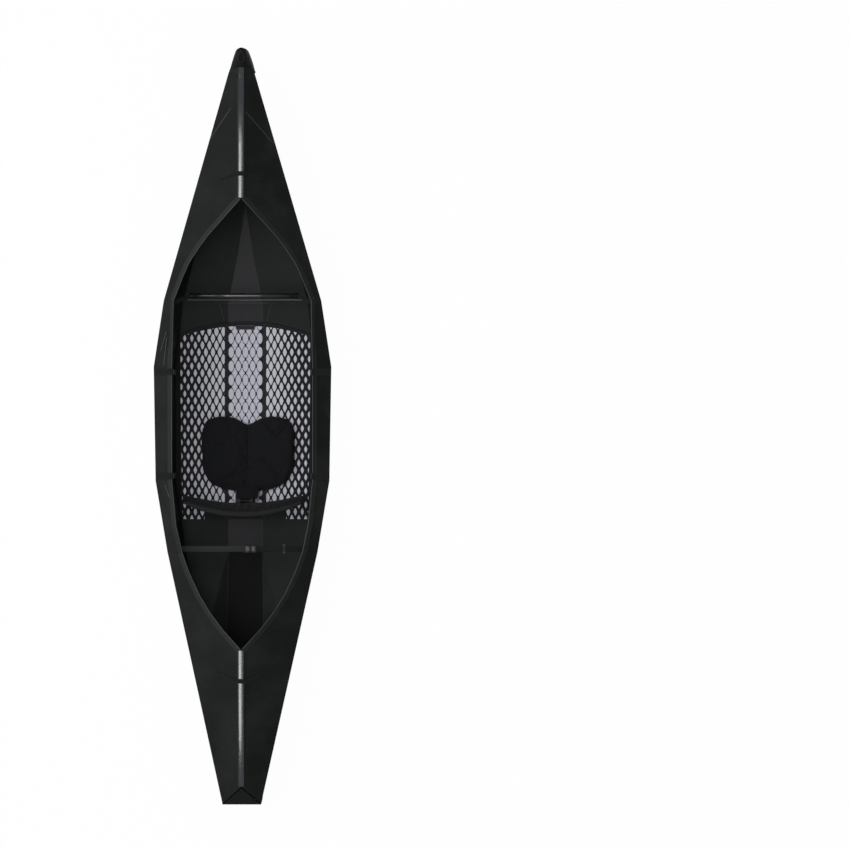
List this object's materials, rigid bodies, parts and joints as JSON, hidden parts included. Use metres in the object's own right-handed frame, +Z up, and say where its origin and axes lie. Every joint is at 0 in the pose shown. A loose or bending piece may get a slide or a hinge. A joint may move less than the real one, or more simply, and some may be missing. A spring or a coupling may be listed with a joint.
{
  "type": "folding kayak",
  "caption": "Open folding kayak of creased sheet panels with hinged deck halves, ridge channels, floorboard, seat, backrest and foot brace",
  "frame": {"origin": "middle of the box of the open kayak, on the surface that its keel panel rests on", "axes": "+Y toward the bow, +X to the right in the picture, +Z up"},
  "size_m": [0.746, 3.162, 0.3664],
  "materials": {
    "hull_sheet": "satin black corrugated sheet",
    "channel_plastic": "glossy dark extrusion",
    "hard_plastic": "moulded black nylon",
    "webbing": "black woven webbing",
    "board_sheet": "light sheet with a dark printed lattice",
    "seat_fabric": "black padded fabric"
  },
  "bodies": {
    "root": {"bilge_panel_bow_left": "hull_sheet", "bilge_panel_bow_right": "hull_sheet", "bilge_panel_mid_left": "hull_sheet", "bilge_panel_mid_right": "hull_sheet", "bilge_panel_stern_left": "hull_sheet", "bilge_panel_stern_right": "hull_sheet", "bow_tip_fold": "hull_sheet", "buckle_female": "hard_plastic", "keel_panel_bow": "hull_sheet", "keel_panel_mid": "hull_sheet", "keel_panel_stern": "hull_sheet", "rear_strap_left": "webbing", "rear_strap_right": "webbing", "side_panel_bow_left": "hull_sheet", "side_panel_bow_right": "hull_sheet", "side_panel_mid_left": "hull_sheet", "side_panel_mid_right": "hull_sheet", "side_panel_stern_left": "hull_sheet", "side_panel_stern_right": "hull_sheet", "stern_end_flap": "hull_sheet", "stern_transom": "hull_sheet", "strap_anchor_front_left": "webbing", "strap_anchor_front_right": "webbing", "strap_anchor_rear_left": "webbing", "strap_anchor_rear_right": "webbing"},
    "bow_deck_left": {"bow_deck_left": "hull_sheet", "bow_keeper_left": "webbing"},
    "bow_deck_right": {"bow_deck_right": "hull_sheet", "bow_keeper_right": "webbing"},
    "stern_deck_left": {"stern_deck_left": "hull_sheet", "stern_keeper_left": "webbing"},
    "stern_deck_right": {"stern_deck_right": "hull_sheet", "stern_keeper_right": "webbing"},
    "side_strip_front_left": {"side_strip_front_left": "hull_sheet"},
    "side_strip_mid_left": {"side_strip_mid_left": "hull_sheet", "side_strap_front_left": "webbing", "side_strap_rear_left": "webbing"},
    "side_strip_rear_left": {"side_strip_rear_left": "hull_sheet"},
    "side_strip_front_right": {"side_strip_front_right": "hull_sheet"},
    "side_strip_mid_right": {"side_strip_mid_right": "hull_sheet", "side_strap_front_right": "webbing", "side_strap_rear_right": "webbing"},
    "side_strip_rear_right": {"side_strip_rear_right": "hull_sheet"},
    "bow_channel": {"bow_channel": "channel_plastic"},
    "stern_channel": {"stern_channel": "channel_plastic"},
    "bow_fairing": {"bow_fairing": "hard_plastic"},
    "bow_grab_loop": {"bow_grab_loop": "webbing"},
    "foot_brace": {"foot_brace_bar": "channel_plastic", "foot_brace_strap_left": "webbing", "foot_brace_strap_right": "webbing"},
    "floorboard": {"floorboard_centre": "board_sheet", "floorboard_wing_left": "board_sheet", "floorboard_wing_right": "board_sheet", "seat_pad": "seat_fabric", "backrest_bracket": "hard_plastic"},
    "backrest": {"backrest_pad": "seat_fabric", "backrest_stem": "hard_plastic"},
    "buckle_male": {"buckle_male": "hard_plastic"},
    "strap_slider": {"strap_slider": "hard_plastic"}
  },
  "joints": [
    {"name": "bow_deck_left_open", "type": "hinge", "parent": "root", "child": "bow_deck_left", "pos_m": [-0.054, 1.478, 0.32], "axis": [-0.2789, -0.9575, -0.0735], "range_deg": [0, 84]},
    {"name": "bow_deck_right_open", "type": "hinge", "parent": "root", "child": "bow_deck_right", "pos_m": [0.054, 1.478, 0.32], "axis": [-0.2789, 0.9575, 0.0735], "range_deg": [0, 84.01]},
    {"name": "side_strip_front_left_open", "type": "hinge", "parent": "root", "child": "side_strip_front_left", "pos_m": [-0.331, 0.527, 0.247], "axis": [-0.1499, -0.9887, -0.0071], "range_deg": [0, 78.01]},
    {"name": "side_strip_front_right_open", "type": "hinge", "parent": "root", "child": "side_strip_front_right", "pos_m": [0.331, 0.527, 0.247], "axis": [-0.1499, 0.9887, 0.0071], "range_deg": [0, 78.01]},
    {"name": "side_strip_mid_left_open", "type": "hinge", "parent": "root", "child": "side_strip_mid_left", "pos_m": [-0.373, 0.25, 0.245], "axis": [0.0167, -0.9999, 0], "range_deg": [0, 80.01]},
    {"name": "side_strip_mid_right_open", "type": "hinge", "parent": "root", "child": "side_strip_mid_right", "pos_m": [0.373, 0.25, 0.245], "axis": [0.0167, 0.9999, 0], "range_deg": [0, 80.01]},
    {"name": "side_strip_rear_left_open", "type": "hinge", "parent": "root", "child": "side_strip_rear_left", "pos_m": [-0.365, -0.228, 0.245], "axis": [0.1649, -0.9863, 0.0066], "range_deg": [0, 78.01]},
    {"name": "side_strip_rear_right_open", "type": "hinge", "parent": "root", "child": "side_strip_rear_right", "pos_m": [0.365, -0.228, 0.245], "axis": [0.1649, 0.9863, -0.0066], "range_deg": [0, 78.01]},
    {"name": "stern_deck_left_open", "type": "hinge", "parent": "root", "child": "stern_deck_left", "pos_m": [-0.315, -0.527, 0.247], "axis": [0.2172, -0.9747, 0.052], "range_deg": [0, 84.01]},
    {"name": "stern_deck_right_open", "type": "hinge", "parent": "root", "child": "stern_deck_right", "pos_m": [0.315, -0.527, 0.247], "axis": [0.2172, 0.9747, -0.052], "range_deg": [0, 84.01]},
    {"name": "bow_channel_slide", "type": "slide", "parent": "bow_deck_left", "child": "bow_channel", "axis": [0, -0.9993, 0.0361], "range_m": [0, 0.48]},
    {"name": "stern_channel_slide", "type": "slide", "parent": "stern_deck_left", "child": "stern_channel", "axis": [0, 0.9993, 0.0372], "range_m": [0, 0.55]},
    {"name": "bow_fairing_slide", "type": "slide", "parent": "root", "child": "bow_fairing", "axis": [0, 1, 0], "range_m": [0, 0.09]},
    {"name": "grab_loop_swing", "type": "hinge", "parent": "bow_fairing", "child": "bow_grab_loop", "pos_m": [0, 1.563, 0.3538], "axis": [-1, 0, 0], "range_deg": [0, 150]},
    {"name": "foot_brace_swing", "type": "hinge", "parent": "root", "child": "foot_brace", "pos_m": [0, 0.512, 0.232], "axis": [1, 0, 0], "range_deg": [-30, 30]},
    {"name": "floorboard_lift", "type": "slide", "parent": "root", "child": "floorboard", "axis": [0, 0, 1], "range_m": [0, 0.35]},
    {"name": "backrest_fold", "type": "hinge", "parent": "floorboard", "child": "backrest", "pos_m": [0, -0.317, 0.044], "axis": [-1, 0, 0], "range_deg": [0, 35]},
    {"name": "buckle_release", "type": "slide", "parent": "root", "child": "buckle_male", "axis": [1, 0, 0], "range_m": [0, 0.022]},
    {"name": "slider_adjust", "type": "slide", "parent": "root", "child": "strap_slider", "axis": [1, 0, 0], "range_m": [-0.06, 0.08]}
  ],
  "couplings": [
    {"joint": "bow_deck_right_open", "follows": "bow_deck_left_open", "ratio": 1},
    {"joint": "side_strip_front_left_open", "follows": "bow_deck_left_open", "ratio": 0.92857},
    {"joint": "side_strip_front_right_open", "follows": "bow_deck_left_open", "ratio": 0.92857},
    {"joint": "side_strip_mid_left_open", "follows": "bow_deck_left_open", "ratio": 0.95238},
    {"joint": "side_strip_mid_right_open", "follows": "bow_deck_left_open", "ratio": 0.95238},
    {"joint": "side_strip_rear_left_open", "follows": "bow_deck_left_open", "ratio": 0.92857},
    {"joint": "side_strip_rear_right_open", "follows": "bow_deck_left_open", "ratio": 0.92857},
    {"joint": "stern_deck_left_open", "follows": "bow_deck_left_open", "ratio": 1},
    {"joint": "stern_deck_right_open", "follows": "bow_deck_left_open", "ratio": 1}
  ]
}
